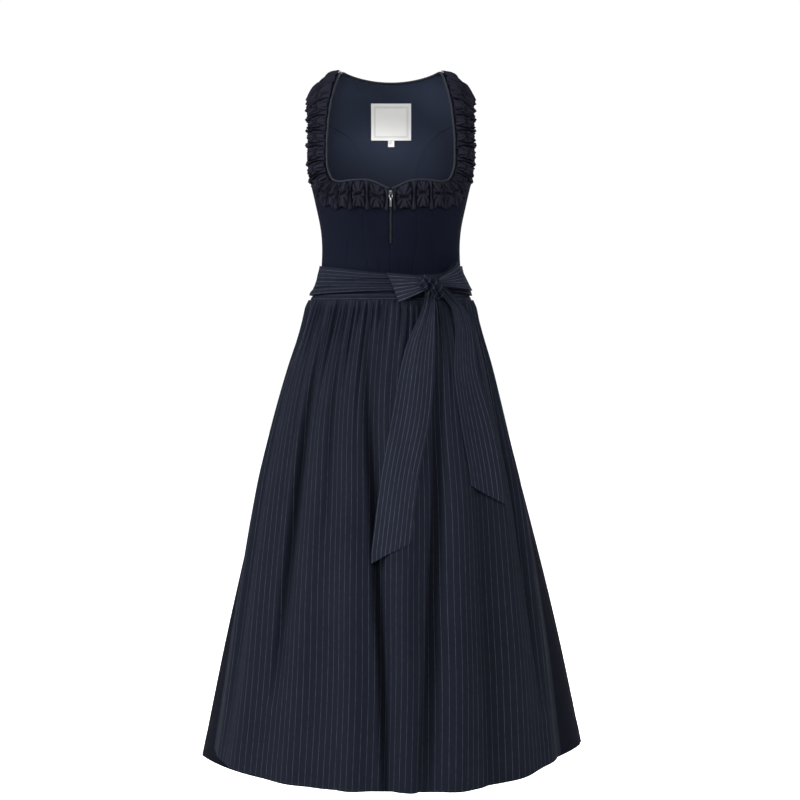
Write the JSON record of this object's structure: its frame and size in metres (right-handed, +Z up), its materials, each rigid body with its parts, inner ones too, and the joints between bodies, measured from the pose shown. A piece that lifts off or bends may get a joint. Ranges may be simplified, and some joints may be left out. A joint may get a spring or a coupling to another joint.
{
  "type": "dirndl",
  "caption": "Long sleeveless dirndl, hollow as worn: zipped bodice with a ruched neckline frill, gathered skirt, and a pinstriped apron tied at the front in a bow.",
  "frame": {"origin": "midway between the two shoulder seams, where the wearer's shoulders carry the dress", "axes": "+Z up, the front faces -Y, +X is the wearer's left"},
  "size_m": [0.7194, 0.6757, 1.2885],
  "materials": {
    "bodice_cloth": "matt, closely woven, dark navy",
    "skirt_cloth": "matt, closely woven, dark navy",
    "apron_cloth": "light twill with fine pale pinstripes",
    "frill_cloth": "matt, pinched into box pleats",
    "piping_cord": "cord covered in smooth cloth",
    "zip_tape": "woven tape",
    "zip_chain": "dark coil",
    "zip_metal": "worn bright metal",
    "label_cloth": "smooth woven ribbon, left without lettering"
  },
  "bodies": {
    "dress": {"centre_front_left": "bodice_cloth", "centre_front_right": "bodice_cloth", "side_front_left": "bodice_cloth", "side_front_right": "bodice_cloth", "side_back_left": "bodice_cloth", "side_back_right": "bodice_cloth", "centre_back": "bodice_cloth", "neck_frill_left": "frill_cloth", "neck_frill_right": "frill_cloth", "skirt_front": "skirt_cloth", "skirt_back_left": "skirt_cloth", "skirt_back_right": "skirt_cloth", "apron_panel": "apron_cloth", "apron_waistband": "apron_cloth", "tie_right": "apron_cloth", "tie_left": "apron_cloth", "bow_knot": "apron_cloth", "bow_loop_right": "apron_cloth", "bow_loop_left": "apron_cloth", "tie_tail_long": "apron_cloth", "tie_tail_short": "apron_cloth", "neck_piping": "piping_cord", "zip_tape": "zip_tape", "zip_chain": "zip_chain", "zip_slider": "zip_metal", "label": "label_cloth", "size_tab": "label_cloth"},
    "pull_tab": {"zip_pull": "zip_metal"}
  },
  "joints": [
    {"name": "pull_tab_swing", "type": "hinge", "parent": "dress", "child": "pull_tab", "pos_m": [0, -0.11638, -0.2365], "axis": [-1, 0, 0], "range_deg": [0, 160]}
  ]
}
